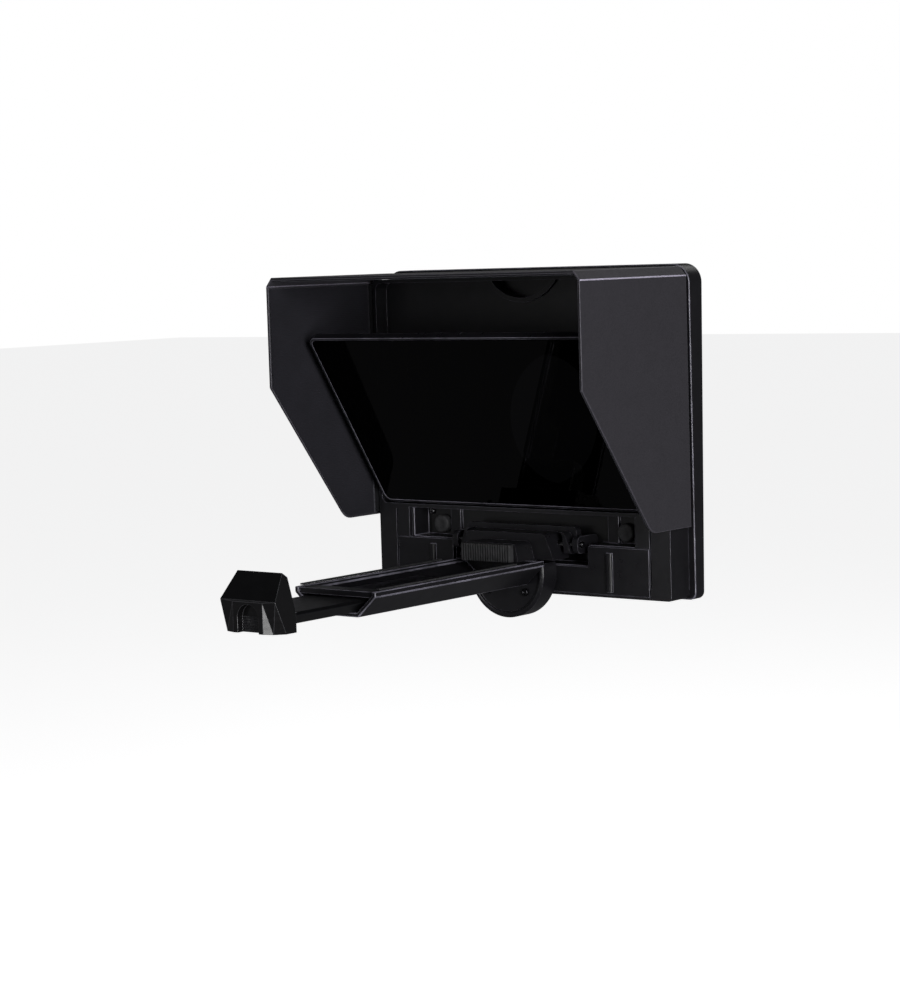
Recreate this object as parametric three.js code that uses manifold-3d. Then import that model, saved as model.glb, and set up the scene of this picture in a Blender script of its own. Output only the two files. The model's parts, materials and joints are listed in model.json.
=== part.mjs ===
// Folding tablet teleprompter: a lens-mounted housing, a leaning beam-splitter glass, a lift-off hood
// with two hinged sides, and a fold-up arm whose sliding clamp grips the tablet.
//
// Millimetres. +X is to the right of someone facing the glass, +Y runs from the reader to the camera,
// +Z is up. Every part is placed from the housing datum: the middle of the front frame's lower front
// edge. The last line moves that datum so that the origin is the centre of the lens ring's rear face.

import * as THREE from 'three';
import { mergeVertices } from 'three/addons/utils/BufferGeometryUtils.js';
import Module from 'manifold-3d';

const wasm = await Module();
wasm.setup();

// ---- driving dimensions ---------------------------------------------------------------------------

const GAP = 0.3;                    // clearance that touching pieces keep
const WIDE = 400;                   // longer than any piece, for cutting solids

// Front frame
const FRAME_HALF = 102;
const FRAME_TOP = 177.5;
const FRAME_DEPTH = 17.6;
const FRAME_SKIN = 3;
const FRAME_WALL = 2;
const WINDOW_HALF = 85;
const WINDOW_LOW = 58;
const WINDOW_HIGH = 139;
const POCKET_LOW = 47.3;            // pocket above this height takes the folded glass
const POCKET_DEPTH = 10;
const RECESS_HALF = 77.5;
const RECESS_LOW = 28.6;
const RECESS_HIGH = 45.3;
const RECESS_DEPTH = 15;
const ROOT_HALF = 47;               // lower notch in the recess for the arm's root
const ROOT_LOW = 17;
const RIB_X = 55.6;                 // upright ribs in the recess
const RIB_HALF = 3.7;
const RIB_FRONT = 13;
const TRAY_FRONT = 1.8;             // the tray and the lower fascia's seat start this far back
const SLIT_X = 89;
const NOTCH_RADIUS = 27.5;
const NOTCH_CENTRE = 193;
const NOTCH_DEPTH = 8;

// Rear shell and lens port
const SHELL_HALF = 106;
const SHELL_LOW = -1;
const SHELL_HIGH = 182.3;
const SHELL_CORNER = 10.5;
const SHELL_FOOT = 4.2;             // radius of the two lower corners
const SHELL_WALL = 4.5;
const SHELL_FRONT = FRAME_DEPTH + GAP;
const SHELL_BACK_LOW = 26.6;        // the rear face leans back from its foot to its head
const SHELL_BACK_HIGH = 30.9;
const SHELL_FLOOR = 2.5;
const LENS_Z = 96;
const PORT_RADIUS = 43;
const BOSS_RADIUS = 54;             // flat round boss that carries the lens port
const BOSS_BACK = 31.2;
const COLLAR_OUTER = 52;
const COLLAR_INNER = 44.6;
const COLLAR_BACK = 42;
const LENS_RING_OUTER = 44;
const LENS_RING_BORE = 38.5;
const LENS_FLANGE = 48;
const LENS_FACE = 47;               // the flange's rear face, where the origin goes
const LOCK_ANGLE = THREE.MathUtils.degToRad(50);
const LOCK_Y = 37;
const LOCK_STEM = 2.2;
const LOCK_RADIUS = 6.5;

// Glass
const GLASS_LEAN = THREE.MathUtils.degToRad(33.5);
const GLASS_Y = 2.5;
const GLASS_Z = 51.5;
const GLASS_HALF = 98.5;
const GLASS_HEIGHT = 115;
const GLASS_FOOT = 2.5;
const GLASS_LIP = 1.5;              // frame edge that shows round the pane
const GLASS_BEZEL = 6;
const GLASS_BAR = 5;
const GLASS_PANE = 2;
const PIN_RADIUS = 1.5;

// Hood
const HOOD_FRONT = -86;
const HOOD_BACK = 12.7;
const HOOD_OUTER = 107.7;
const HOOD_BOARD = 1.6;
const HOOD_CREASE_Z = 176.1;
const HOOD_HIGH = 181;
const HOOD_TOP_HALF = 103.8;
const HOOD_FRONT_LOW = 119.3;
const HOOD_KNEE_Y = -30;
const HOOD_KNEE_Z = 46;
const HOOD_LOW = 40;
const LINING = 0.8;
const MAGNET_RADIUS = 4;
const MAGNET_Y = 6;
const MAGNET_LEVELS = [['lower', 62], ['upper', 152]];

// Arm and clamp
const ARM_PIVOT_Y = -2;
const ARM_PIVOT_Z = 29;
const ARM_PIN_RADIUS = 1.6;
const CHANNEL_BACK = -14.3;
const CHANNEL_FRONT = -160;
const CHANNEL_HALF = 27.5;
const CHANNEL_FLOOR_HALF = 15.5;
const CHANNEL_LOW = 6.5;
const CHANNEL_KNEE = 17.5;
const CHANNEL_HIGH = 20.5;
const CHANNEL_WALL = 2.4;
const HUB_RADIUS = 26;
const HUB_Z = 13;
const HUB_HIGH = 18.5;
const HUB_FRONT = -14;
const REST_Z = 21.7;                // underside of the tablet
const TABLET_BACK = -32.6;
const TABLET_FRONT = -211.1;
const SLIDE_BACK = -68;
const SLIDE_HALF = 19.5;
const CLAMP_HALF = 20;
const CLAMP_LOW = 6;

// ---- solids ---------------------------------------------------------------------------------------

function solid(geometry) {
  const bare = geometry.clone();
  bare.deleteAttribute('normal');
  bare.deleteAttribute('uv');
  const merged = mergeVertices(bare, 1e-4);
  const vertProperties = new Float32Array(merged.attributes.position.array);
  const triVerts = new Uint32Array(merged.index.array);
  return new wasm.Manifold(new wasm.Mesh({ numProp: 3, vertProperties, triVerts }));
}

function geometryOf(manifold) {
  const mesh = manifold.getMesh();
  const geometry = new THREE.BufferGeometry();
  geometry.setAttribute('position', new THREE.BufferAttribute(new Float32Array(mesh.vertProperties), 3));
  geometry.setIndex(new THREE.BufferAttribute(new Uint32Array(mesh.triVerts), 1));
  geometry.computeVertexNormals();
  return geometry;
}

function outline(points) {
  return new THREE.Shape(points.map(([a, b]) => new THREE.Vector2(a, b)));
}

// A rectangle with rounded corners, whose two lower ones may have a radius of their own.
function roundedBox(a0, a1, b0, b1, radius, foot = radius) {
  const shape = new THREE.Shape();
  shape.moveTo(a0 + foot, b0);
  shape.lineTo(a1 - foot, b0);
  shape.absarc(a1 - foot, b0 + foot, foot, -Math.PI / 2, 0);
  shape.lineTo(a1, b1 - radius);
  shape.absarc(a1 - radius, b1 - radius, radius, 0, Math.PI / 2);
  shape.lineTo(a0 + radius, b1);
  shape.absarc(a0 + radius, b1 - radius, radius, Math.PI / 2, Math.PI);
  shape.lineTo(a0, b0 + foot);
  shape.absarc(a0 + foot, b0 + foot, foot, Math.PI, 1.5 * Math.PI);
  return shape;
}

function extrude(shape, depth, curveSegments = 8) {
  return new THREE.ExtrudeGeometry(shape, { depth, bevelEnabled: false, curveSegments });
}

// A shape drawn in X and Z, between two values of Y.
function alongY(shape, y0, y1, curveSegments) {
  return solid(extrude(shape, y1 - y0, curveSegments).rotateX(Math.PI / 2).translate(0, y1, 0));
}

// A shape drawn in Y and Z, between two values of X.
function alongX(shape, x0, x1, curveSegments) {
  const turn = new THREE.Matrix4().makeBasis(
    new THREE.Vector3(0, 1, 0),
    new THREE.Vector3(0, 0, 1),
    new THREE.Vector3(1, 0, 0),
  );
  return solid(extrude(shape, x1 - x0, curveSegments).applyMatrix4(turn).translate(x0, 0, 0));
}

// A shape drawn in X and Y, between two values of Z.
function alongZ(shape, z0, z1, curveSegments) {
  return solid(extrude(shape, z1 - z0, curveSegments).translate(0, 0, z0));
}

function block(x0, x1, y0, y1, z0, z1) {
  const geometry = new THREE.BoxGeometry(x1 - x0, y1 - y0, z1 - z0);
  return solid(geometry.translate((x0 + x1) / 2, (y0 + y1) / 2, (z0 + z1) / 2));
}

// A cylinder along Y whose axis passes through (x, z).
function discY(radius, x, z, y0, y1, segments = 24) {
  const geometry = new THREE.CylinderGeometry(radius, radius, y1 - y0, segments);
  return solid(geometry.translate(x, (y0 + y1) / 2, z));
}

// A cylinder along X whose axis passes through (y, z).
function rodX(radius, x0, x1, y, z, segments = 20) {
  const geometry = new THREE.CylinderGeometry(radius, radius, x1 - x0, segments);
  return solid(geometry.rotateZ(-Math.PI / 2).translate((x0 + x1) / 2, y, z));
}

// A ring or stepped drum turned about the lens axis; each profile point is [radius, y].
function turned(profile, segments = 64) {
  const points = profile.map(([r, y]) => new THREE.Vector2(r, y));
  return solid(new THREE.LatheGeometry([...points, points[0]], segments).translate(0, 0, LENS_Z));
}

// ---- materials and the scene ----------------------------------------------------------------------

const FINISH = {
  housing: { color: 0x17181a, roughness: 0.5, metalness: 0 },
  fascia: { color: 0x1b1c1f, roughness: 0.45, metalness: 0 },
  hood: { color: 0x2a2c30, roughness: 0.7, metalness: 0 },
  lining: { color: 0x15171c, roughness: 0.95, metalness: 0 },
  gloss: { color: 0x101113, roughness: 0.22, metalness: 0 },
  metal: { color: 0x2b2d30, roughness: 0.4, metalness: 0.8 },
  steel: { color: 0x8d9095, roughness: 0.3, metalness: 1 },
  rubber: { color: 0x141414, roughness: 0.85, metalness: 0 },
  glass: { color: 0x1d2226, roughness: 0.05, metalness: 0 },
};

const housing = new THREE.Group();

function part(name, manifold, finish, home = housing) {
  const mesh = new THREE.Mesh(geometryOf(manifold), new THREE.MeshStandardMaterial(FINISH[finish]));
  mesh.name = name;
  home.add(mesh);
  return mesh;
}

const SIDES = [['left', -1], ['right', 1]];

// ---- housing --------------------------------------------------------------------------------------

function frontFrame() {
  let body = alongY(roundedBox(-FRAME_HALF, FRAME_HALF, 0, FRAME_TOP, 2), 0, FRAME_DEPTH, 4);

  // Pocket for the folded glass, with the light window through its floor.
  const pocketHalf = FRAME_HALF - FRAME_WALL;
  const pocket = roundedBox(-pocketHalf, pocketHalf, POCKET_LOW, FRAME_TOP - FRAME_WALL, 4);
  body = body.subtract(alongY(pocket, -1, POCKET_DEPTH, 4));
  const window = roundedBox(-WINDOW_HALF, WINDOW_HALF, WINDOW_LOW, WINDOW_HIGH, 8);
  body = body.subtract(alongY(window, -1, FRAME_DEPTH + 1, 6));

  // Hollow back: a thin skin in front, the pocket's floor above it, and the outer wall all round.
  const hollow = roundedBox(-pocketHalf, pocketHalf, FRAME_WALL, FRAME_TOP - FRAME_WALL, 2);
  const behindPocket = block(-WIDE, WIDE, POCKET_DEPTH + FRAME_SKIN, WIDE, RECESS_HIGH, WIDE);
  const behindSkin = block(-WIDE, WIDE, FRAME_SKIN, WIDE, -WIDE, RECESS_HIGH);
  const cavity = alongY(hollow, 0, FRAME_DEPTH + 1, 4).intersect(behindPocket.add(behindSkin));
  body = body.subtract(cavity).subtract(trayBlock(-1, FRAME_SKIN + 1, GAP));

  for (const [, side] of SIDES) {
    // Thin slit beside the recess, and the bore for the glass's pin.
    const slit = block(side * SLIT_X - 0.5, side * SLIT_X + 0.5, -1, 1, 6, POCKET_LOW - 3);
    const wallX = side * (FRAME_HALF - FRAME_WALL / 2);
    const bore = rodX(PIN_RADIUS + 0.4, wallX - FRAME_WALL, wallX + FRAME_WALL, GLASS_Y, GLASS_Z);
    body = body.subtract(slit).subtract(bore);
  }

  // Finger notch in the top bar: a half-round pocket with a raised rim.
  const notchFloor = POCKET_DEPTH + NOTCH_DEPTH;
  const seat = discY(NOTCH_RADIUS + 2.5, 0, NOTCH_CENTRE, POCKET_DEPTH - 2, notchFloor + 1.5, 64);
  const topBar = block(-WINDOW_HALF, WINDOW_HALF, 0, WIDE, WINDOW_HIGH, FRAME_TOP - 0.5);
  const notch = discY(NOTCH_RADIUS, 0, NOTCH_CENTRE, -1, notchFloor, 64);
  const insideTop = block(-WIDE, WIDE, -2, WIDE, 0, FRAME_TOP - FRAME_WALL);
  body = body.add(seat.intersect(topBar)).subtract(notch.intersect(insideTop));

  // Shallow seat for the lower fascia.
  body = body.subtract(block(-88.3, 88.3, -1, TRAY_FRONT, 1.4, RECESS_LOW - 0.4)
    .subtract(block(-ROOT_HALF - 0.2, ROOT_HALF + 0.2, -2, 2, ROOT_LOW - 0.2, WIDE)));
  part('front_frame', body, 'housing');
}

// The recess tray's outer shape, grown by a clearance: wide at the top, with a deeper middle.
function trayBlock(y0, y1, grow) {
  const wide = RECESS_HALF + FRAME_WALL + grow;
  const root = ROOT_HALF + FRAME_WALL + grow;
  const high = RECESS_HIGH - GAP + grow;
  return block(-wide, wide, y0, y1, RECESS_LOW - FRAME_WALL - grow, high)
    .add(block(-root, root, y0, y1, ROOT_LOW - FRAME_WALL - grow, high));
}

// Open tray under the glass that the arm's stepped stop folds into.
function recessTray() {
  const recess = block(-RECESS_HALF, RECESS_HALF, -1, RECESS_DEPTH, RECESS_LOW, WIDE)
    .add(block(-ROOT_HALF, ROOT_HALF, -1, RECESS_DEPTH, ROOT_LOW, WIDE));
  let tray = trayBlock(TRAY_FRONT, RECESS_DEPTH + FRAME_WALL, 0).subtract(recess);
  for (const [, side] of SIDES) {
    const ribX = side * RIB_X;
    const rib = block(
      ribX - RIB_HALF, ribX + RIB_HALF,
      RIB_FRONT, RECESS_DEPTH + 0.5,
      RECESS_LOW - 0.5, RECESS_HIGH - GAP,
    );
    tray = tray.add(rib);
  }
  part('recess_tray', tray, 'housing');
}

// Sleeve round the light window, from the pocket's floor into the rear shell.
function windowSleeve() {
  const outerHalf = WINDOW_HALF + FRAME_WALL;
  const outer = roundedBox(-outerHalf, outerHalf, WINDOW_LOW - FRAME_WALL, WINDOW_HIGH + FRAME_WALL, 9);
  const inner = roundedBox(-WINDOW_HALF, WINDOW_HALF, WINDOW_LOW, WINDOW_HIGH, 8);
  const front = POCKET_DEPTH + FRAME_SKIN + GAP;
  const back = SHELL_BACK_LOW - SHELL_FLOOR;
  const sleeve = alongY(outer, front, back, 6).subtract(alongY(inner, 0, WIDE, 6));
  part('window_sleeve', sleeve, 'housing');
}

function lowerFascia() {
  const low = 1.4 + GAP;
  const high = RECESS_LOW - 0.4 - GAP;
  let plate = block(-88, 88, -0.5, TRAY_FRONT - GAP, low, high);
  plate = plate.subtract(block(-ROOT_HALF - 0.5, ROOT_HALF + 0.5, -2, 3, ROOT_LOW - 0.5, WIDE));
  for (const [, side] of SIDES) {
    const rib = alongZ(roundedBox(side * 62 - 2, side * 62 + 2, -2.2, 0.5, 1.2), low + 1.5, high - 3, 3);
    plate = plate.add(rib);
  }
  part('lower_fascia', plate, 'fascia');
}

function shellBackAt(z) {
  return THREE.MathUtils.mapLinear(z, SHELL_LOW, SHELL_HIGH, SHELL_BACK_LOW, SHELL_BACK_HIGH);
}

// Everything in front of the leaning rear face, moved forward by a wall's thickness.
function beforeShellBack(wall) {
  const side = outline([
    [0, SHELL_LOW], [SHELL_BACK_LOW - wall, SHELL_LOW],
    [SHELL_BACK_HIGH - wall, SHELL_HIGH], [0, SHELL_HIGH],
  ]);
  return alongX(side, -WIDE, WIDE);
}

function rearShell() {
  const outer = roundedBox(-SHELL_HALF, SHELL_HALF, SHELL_LOW, SHELL_HIGH, SHELL_CORNER, SHELL_FOOT);
  const inner = roundedBox(
    -SHELL_HALF + SHELL_WALL, SHELL_HALF - SHELL_WALL,
    SHELL_LOW + SHELL_WALL, SHELL_HIGH - SHELL_WALL,
    SHELL_CORNER - SHELL_WALL / 2, SHELL_FOOT - SHELL_WALL / 2,
  );
  const bossFloor = BOSS_BACK - SHELL_FLOOR;
  const shell = alongY(outer, SHELL_FRONT, WIDE, 8)
    .intersect(beforeShellBack(0))
    .add(discY(BOSS_RADIUS, 0, LENS_Z, SHELL_FRONT, BOSS_BACK, 72))
    .subtract(alongY(inner, 0, WIDE, 6).intersect(beforeShellBack(SHELL_FLOOR)))
    .subtract(discY(BOSS_RADIUS - SHELL_FLOOR, 0, LENS_Z, 0, bossFloor, 72))
    .subtract(discY(PORT_RADIUS, 0, LENS_Z, 0, WIDE, 64));
  part('rear_shell', shell, 'housing');
  for (const [name, side] of SIDES) {
    for (const [level, z] of [['lower', 9], ['upper', 172]]) {
      const seat = shellBackAt(z + 3.2) + GAP;
      const screw = discY(3.2, side * 96, z, seat, seat + 1.3, 20);
      part(`shell_screw_${level}_${name}`, screw, 'steel');
    }
  }
}

function lensPort() {
  const lockAxis = new THREE.Vector3(Math.cos(LOCK_ANGLE), 0, Math.sin(LOCK_ANGLE));
  const turn = new THREE.Matrix4().makeRotationY(Math.PI / 2 - LOCK_ANGLE);
  const place = (geometry) => geometry.rotateX(Math.PI / 2).applyMatrix4(turn);

  const boreGeometry = place(new THREE.CylinderGeometry(LOCK_STEM + 0.4, LOCK_STEM + 0.4, 20, 20));
  const boreCentre = lockAxis.clone().multiplyScalar(COLLAR_OUTER - 2);
  const bore = solid(boreGeometry.translate(boreCentre.x, LOCK_Y, LENS_Z + boreCentre.z));
  const collar = turned([
    [COLLAR_INNER, BOSS_BACK + GAP],
    [COLLAR_OUTER, BOSS_BACK + GAP],
    [COLLAR_OUTER, COLLAR_BACK - 1],
    [COLLAR_OUTER - 1, COLLAR_BACK],
    [COLLAR_INNER, COLLAR_BACK],
  ]);
  part('port_collar', collar.subtract(bore), 'housing');

  part('lens_ring', turned([
    [LENS_RING_BORE, BOSS_BACK + GAP],
    [LENS_RING_OUTER, BOSS_BACK + GAP],
    [LENS_RING_OUTER, COLLAR_BACK + GAP],
    [LENS_FLANGE, COLLAR_BACK + GAP],
    [LENS_FLANGE, LENS_FACE],
    [LENS_RING_BORE, LENS_FACE],
  ]), 'metal');

  part('light_seal', turned([
    [37, BOSS_BACK - SHELL_FLOOR - 2],
    [50, BOSS_BACK - SHELL_FLOOR - 2],
    [50, BOSS_BACK - SHELL_FLOOR - GAP],
    [37, BOSS_BACK - SHELL_FLOOR - GAP],
  ], 48), 'lining');

  // Thumb screw through the collar's side.
  const knobProfile = [
    [0, LENS_RING_OUTER + 0.5],
    [LOCK_STEM, LENS_RING_OUTER + 0.5],
    [LOCK_STEM, BOSS_RADIUS],
    [LOCK_RADIUS - 1, BOSS_RADIUS],
    [LOCK_RADIUS, BOSS_RADIUS + 1],
    [LOCK_RADIUS, BOSS_RADIUS + 9],
    [LOCK_RADIUS - 1, BOSS_RADIUS + 10],
    [0, BOSS_RADIUS + 10],
  ].map(([r, h]) => new THREE.Vector2(r, h));
  const knob = solid(place(new THREE.LatheGeometry(knobProfile, 24)).translate(0, LOCK_Y, LENS_Z));
  part('lock_knob', knob, 'gloss');
}

function recessFittings() {
  for (const [name, side] of SIDES) {
    part(`catch_post_${name}`, discY(5.3, side * 65, 35, 10.5, RECESS_DEPTH - GAP, 28), 'rubber');
    part(`recess_screw_${name}`, discY(1.8, side * 73.5, 42, 13, RECESS_DEPTH - GAP, 16), 'steel');
  }
}

// Felt strip down each side of the frame, cut round the magnets that hold the hood.
function hoodSeats() {
  for (const [name, side] of SIDES) {
    const half = (HOOD_OUTER - HOOD_BOARD - FRAME_HALF) / 2 - GAP;
    const middle = side * (FRAME_HALF + GAP + half);
    let felt = block(middle - half, middle + half, MAGNET_Y - 5.2, MAGNET_Y + 5.2, 42, 175);
    for (const [level, z] of MAGNET_LEVELS) {
      const magnet = rodX(MAGNET_RADIUS, middle - half, middle + half, MAGNET_Y, z, 20);
      felt = felt.subtract(rodX(MAGNET_RADIUS + GAP, middle - half - 1, middle + half + 1, MAGNET_Y, z, 20));
      part(`hood_magnet_${level}_${name}`, magnet, 'steel');
    }
    part(`side_felt_${name}`, felt, 'lining');
  }
}

// ---- arm and clamp --------------------------------------------------------------------------------

function armHub() {
  const disc = discY(HUB_RADIUS, 0, HUB_Z, HUB_FRONT, -0.5 - GAP, 56);
  const dish = discY(HUB_RADIUS - 3, 0, HUB_Z, HUB_FRONT - 1, HUB_FRONT + 1, 56);
  const below = block(-WIDE, WIDE, -WIDE, WIDE, -WIDE, HUB_HIGH);
  part('arm_hub', disc.subtract(dish).intersect(below), 'fascia');
  for (const [name, side] of SIDES) {
    const ear = roundedBox(-5, RECESS_DEPTH - GAP, 24, 33.5, 2.9);
    const middle = side * 42.2;
    const bore = rodX(ARM_PIN_RADIUS + 0.3, middle - 4, middle + 4, ARM_PIVOT_Y, ARM_PIVOT_Z);
    const plate = alongX(ear, middle - 1.8, middle + 1.8, 4);
    part(`arm_ear_${name}`, plate.subtract(bore), 'fascia');
    part(`hub_screw_${name}`, discY(2.2, side * 13, 2, HUB_FRONT - 0.4, HUB_FRONT + 1 - GAP, 18), 'metal');
  }
}

function channelSection(outerHalf, floorHalf, low, knee, high) {
  return [
    [-outerHalf, high], [-outerHalf, knee], [-floorHalf, low],
    [floorHalf, low], [outerHalf, knee], [outerHalf, high],
  ];
}

function armChannel() {
  const outer = channelSection(CHANNEL_HALF, CHANNEL_FLOOR_HALF, CHANNEL_LOW, CHANNEL_KNEE, CHANNEL_HIGH);
  const inner = channelSection(
    CHANNEL_HALF - CHANNEL_WALL, CHANNEL_FLOOR_HALF - 0.9,
    CHANNEL_LOW + CHANNEL_WALL, CHANNEL_KNEE + 0.9, CHANNEL_HIGH + 1,
  );
  const channel = alongY(outline(outer), CHANNEL_FRONT, CHANNEL_BACK)
    .subtract(alongY(outline(inner), CHANNEL_FRONT - 1, CHANNEL_BACK - 3));
  part('arm_channel', channel, 'housing');

  const strap = block(-24.6, 24.6, CHANNEL_FRONT + 1, CHANNEL_FRONT + 11, 17, CHANNEL_HIGH - GAP);
  const key = outline(channelSection(24.6, 23, 16, 18.8, 30));
  part('slide_retainer', strap.intersect(alongY(key, -WIDE, WIDE)), 'fascia');
  for (const [name, side] of SIDES) {
    const padX = side * (CHANNEL_HALF - 1.3);
    const pad = block(
      padX - 1.1, padX + 1.1,
      CHANNEL_FRONT + 4, TABLET_BACK - 6,
      CHANNEL_HIGH + GAP, REST_Z,
    );
    part(`tablet_pad_${name}`, pad, 'rubber');
  }
}

// One step of the stop, wider at its foot, with rounded shoulders.
function stopStep(topHalf, footHalf, y0, y1, low, high) {
  const shoulder = 2;
  const shape = new THREE.Shape();
  shape.moveTo(-footHalf, low);
  shape.lineTo(footHalf, low);
  shape.lineTo(topHalf + 0.6, high - shoulder);
  shape.quadraticCurveTo(topHalf, high, topHalf - shoulder, high);
  shape.lineTo(shoulder - topHalf, high);
  shape.quadraticCurveTo(-topHalf, high, -topHalf - 0.6, high - shoulder);
  return alongY(shape, y0, y1, 5);
}

// Three steps down from the frame to the lip behind the tablet, with a cheek round each end of the pin.
function rearStop() {
  const foot = CHANNEL_HIGH + GAP;
  const cheeks = stopStep(34.9, 39, -5, 1.8, 24, 35.6).subtract(stopStep(32.9, 37, -6, 1.8, 0, 35.6));
  const stop = stopStep(37.9, 40, 1.5, 6, 24, 38.2)
    .add(cheeks)
    .add(stopStep(27.1, 33, -13, 1.8, foot, 35.2))
    .add(stopStep(17.4, 19.7, -28, -12.7, foot, 30.8))
    .subtract(rodX(ARM_PIN_RADIUS + 0.3, -42, 42, ARM_PIVOT_Y, ARM_PIVOT_Z));
  part('rear_stop', stop, 'fascia');
  part('arm_pin', rodX(ARM_PIN_RADIUS, -46, 46, ARM_PIVOT_Y, ARM_PIVOT_Z), 'steel');

  // Ribbed rubber face that the tablet's rear edge meets.
  const ribCount = 20;
  const ribPitch = 1.7;
  let pad = block(-17, 17, -31.4, -28 - GAP, foot, 30.4);
  for (let index = 0; index < ribCount; index += 1) {
    const x = (index - (ribCount - 1) / 2) * ribPitch;
    pad = pad.add(block(x - 0.45, x + 0.45, -32.2, -31.2, foot, 30.4));
  }
  part('rear_stop_pad', pad, 'rubber');
}

function clampSlide() {
  const section = channelSection(SLIDE_HALF, 13.9, CHANNEL_LOW + CHANNEL_WALL + 0.4, 14.4, 16.2);
  part('clamp_slide', alongY(outline(section), TABLET_FRONT - 0.9, SLIDE_BACK), 'metal');
}

// Faceted block that hooks over the tablet's front edge, with a ribbed thumb scoop in its front.
function clampBlock() {
  const face = TABLET_FRONT - 1.2;
  const panelFront = -226.3;
  const scoopHalf = 7;
  const scoopFloor = panelFront + 4;
  const fold = [
    [10, panelFront, CLAMP_LOW], [10, panelFront, 21.8],
    [18.6, panelFront + 0.2, 22.6], [15.6, panelFront + 1.6, CLAMP_LOW],
  ];
  const corners = [
    ...fold, [CLAMP_HALF, -220, CLAMP_LOW],
    [CLAMP_HALF, face, CLAMP_LOW], [CLAMP_HALF, face, 15.5],
    [15, face, 33.5], [15.1, -216.3, 36.1],
  ];
  const hook = [
    [12.5, face - 1, 28.4], [12.5, face - 1, 33],
    [12, face + 2.6, 28.4], [12, face + 2.6, 31.5],
  ];
  const mirrored = (points) => points.map(([x, y, z]) => [-x, y, z]);
  const bothSides = (points) => [...points, ...mirrored(points)];

  const scoop = new THREE.Shape();
  scoop.moveTo(-scoopHalf, 0);
  scoop.lineTo(scoopHalf, 0);
  scoop.absarc(0, 20.6 - scoopHalf, scoopHalf, 0, Math.PI);
  let body = wasm.Manifold.hull(bothSides(corners))
    .subtract(wasm.Manifold.hull(fold))
    .subtract(wasm.Manifold.hull(mirrored(fold)))
    .add(wasm.Manifold.hull(bothSides(hook)))
    .subtract(alongY(scoop, panelFront - 1, scoopFloor, 12));
  for (let index = 0; index < 6; index += 1) {
    const z = CLAMP_LOW + 0.8 + index * 1.3;
    const half = scoopHalf + 0.2;
    body = body.add(block(-half, half, scoopFloor - 0.4, scoopFloor + 0.2, z, z + 0.6));
  }
  part('clamp_block', body, 'gloss');
  part('clamp_pad', block(-14.5, 14.5, face + GAP, TABLET_FRONT, 20, 28.1), 'rubber');
}

// ---- glass ----------------------------------------------------------------------------------------

function glassAssembly() {
  const tilt = new THREE.Group();
  tilt.position.set(0, GLASS_Y, GLASS_Z);
  tilt.rotation.x = GLASS_LEAN;
  housing.add(tilt);

  const bar = GLASS_BAR / 2;
  const paneBack = -bar + GLASS_PANE;
  const plate = (inset, low) => roundedBox(
    inset - GLASS_HALF, GLASS_HALF - inset,
    low, GLASS_HEIGHT - inset, Math.max(5 - inset, 2.5),
  );
  const frame = alongY(plate(0, -GLASS_FOOT), -bar, bar, 5)
    .subtract(alongY(plate(GLASS_BEZEL, GLASS_BEZEL), -bar - 1, bar + 1, 4))
    .subtract(alongY(plate(GLASS_LIP, GLASS_LIP - GLASS_FOOT), -bar - 1, paneBack + GAP, 4));
  part('glass_frame', frame, 'fascia', tilt);
  const edge = GLASS_LIP + GAP;
  part('beam_glass', alongY(plate(edge, edge - GLASS_FOOT), -bar, paneBack, 4), 'glass', tilt);
  for (const [name, side] of SIDES) {
    const inner = side * (GLASS_HALF + GAP);
    const outer = side * (FRAME_HALF - GAP);
    const pin = rodX(PIN_RADIUS, Math.min(inner, outer), Math.max(inner, outer), 0, 0, 18);
    part(`glass_pin_${name}`, pin, 'steel', tilt);
  }
}

// ---- hood -----------------------------------------------------------------------------------------

function hoodTop() {
  const topLow = HOOD_HIGH - HOOD_BOARD;
  const top = block(-HOOD_TOP_HALF, HOOD_TOP_HALF, HOOD_FRONT, HOOD_BACK, topLow, HOOD_HIGH);
  part('hood_top', top, 'hood');
  const liningHigh = topLow - GAP;
  part('hood_top_lining', block(
    -HOOD_TOP_HALF, HOOD_TOP_HALF, HOOD_FRONT + 1, -0.6, liningHigh - LINING, liningHigh,
  ), 'lining');
  const start = HOOD_TOP_HALF + GAP;
  for (const [name, side] of SIDES) {
    const strip = [
      [start, HOOD_HIGH],
      [start, HOOD_HIGH - HOOD_BOARD],
      [HOOD_OUTER - HOOD_BOARD, HOOD_CREASE_Z],
      [HOOD_OUTER, HOOD_CREASE_Z],
    ].map(([x, z]) => [side * x, z]);
    part(`hood_corner_${name}`, alongY(outline(strip), HOOD_FRONT, HOOD_BACK), 'hood');
  }
}

function sideOutline(front, back, low, high) {
  const shape = new THREE.Shape();
  const radius = 9;
  shape.moveTo(front, high);
  shape.lineTo(front, HOOD_FRONT_LOW);
  shape.lineTo(HOOD_KNEE_Y, HOOD_KNEE_Z);
  shape.quadraticCurveTo(HOOD_KNEE_Y + radius * 0.45, low, HOOD_KNEE_Y + radius, low);
  shape.lineTo(back, low);
  shape.lineTo(back, high);
  return shape;
}

function hoodSides() {
  const high = HOOD_CREASE_Z - GAP;
  for (const [name, side] of SIDES) {
    const boardX = [side * (HOOD_OUTER - HOOD_BOARD), side * HOOD_OUTER].sort((a, b) => a - b);
    const board = alongX(sideOutline(HOOD_FRONT, HOOD_BACK, HOOD_LOW, high), ...boardX, 6);
    part(`hood_side_${name}`, board, 'hood');
    const faceX = HOOD_OUTER - HOOD_BOARD - GAP;
    const liningX = [side * (faceX - LINING), side * faceX].sort((a, b) => a - b);
    const inset = sideOutline(HOOD_FRONT + 1, -0.6, HOOD_LOW + 1, high - 1);
    part(`hood_lining_${name}`, alongX(inset, ...liningX, 6), 'lining');
  }
}

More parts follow.
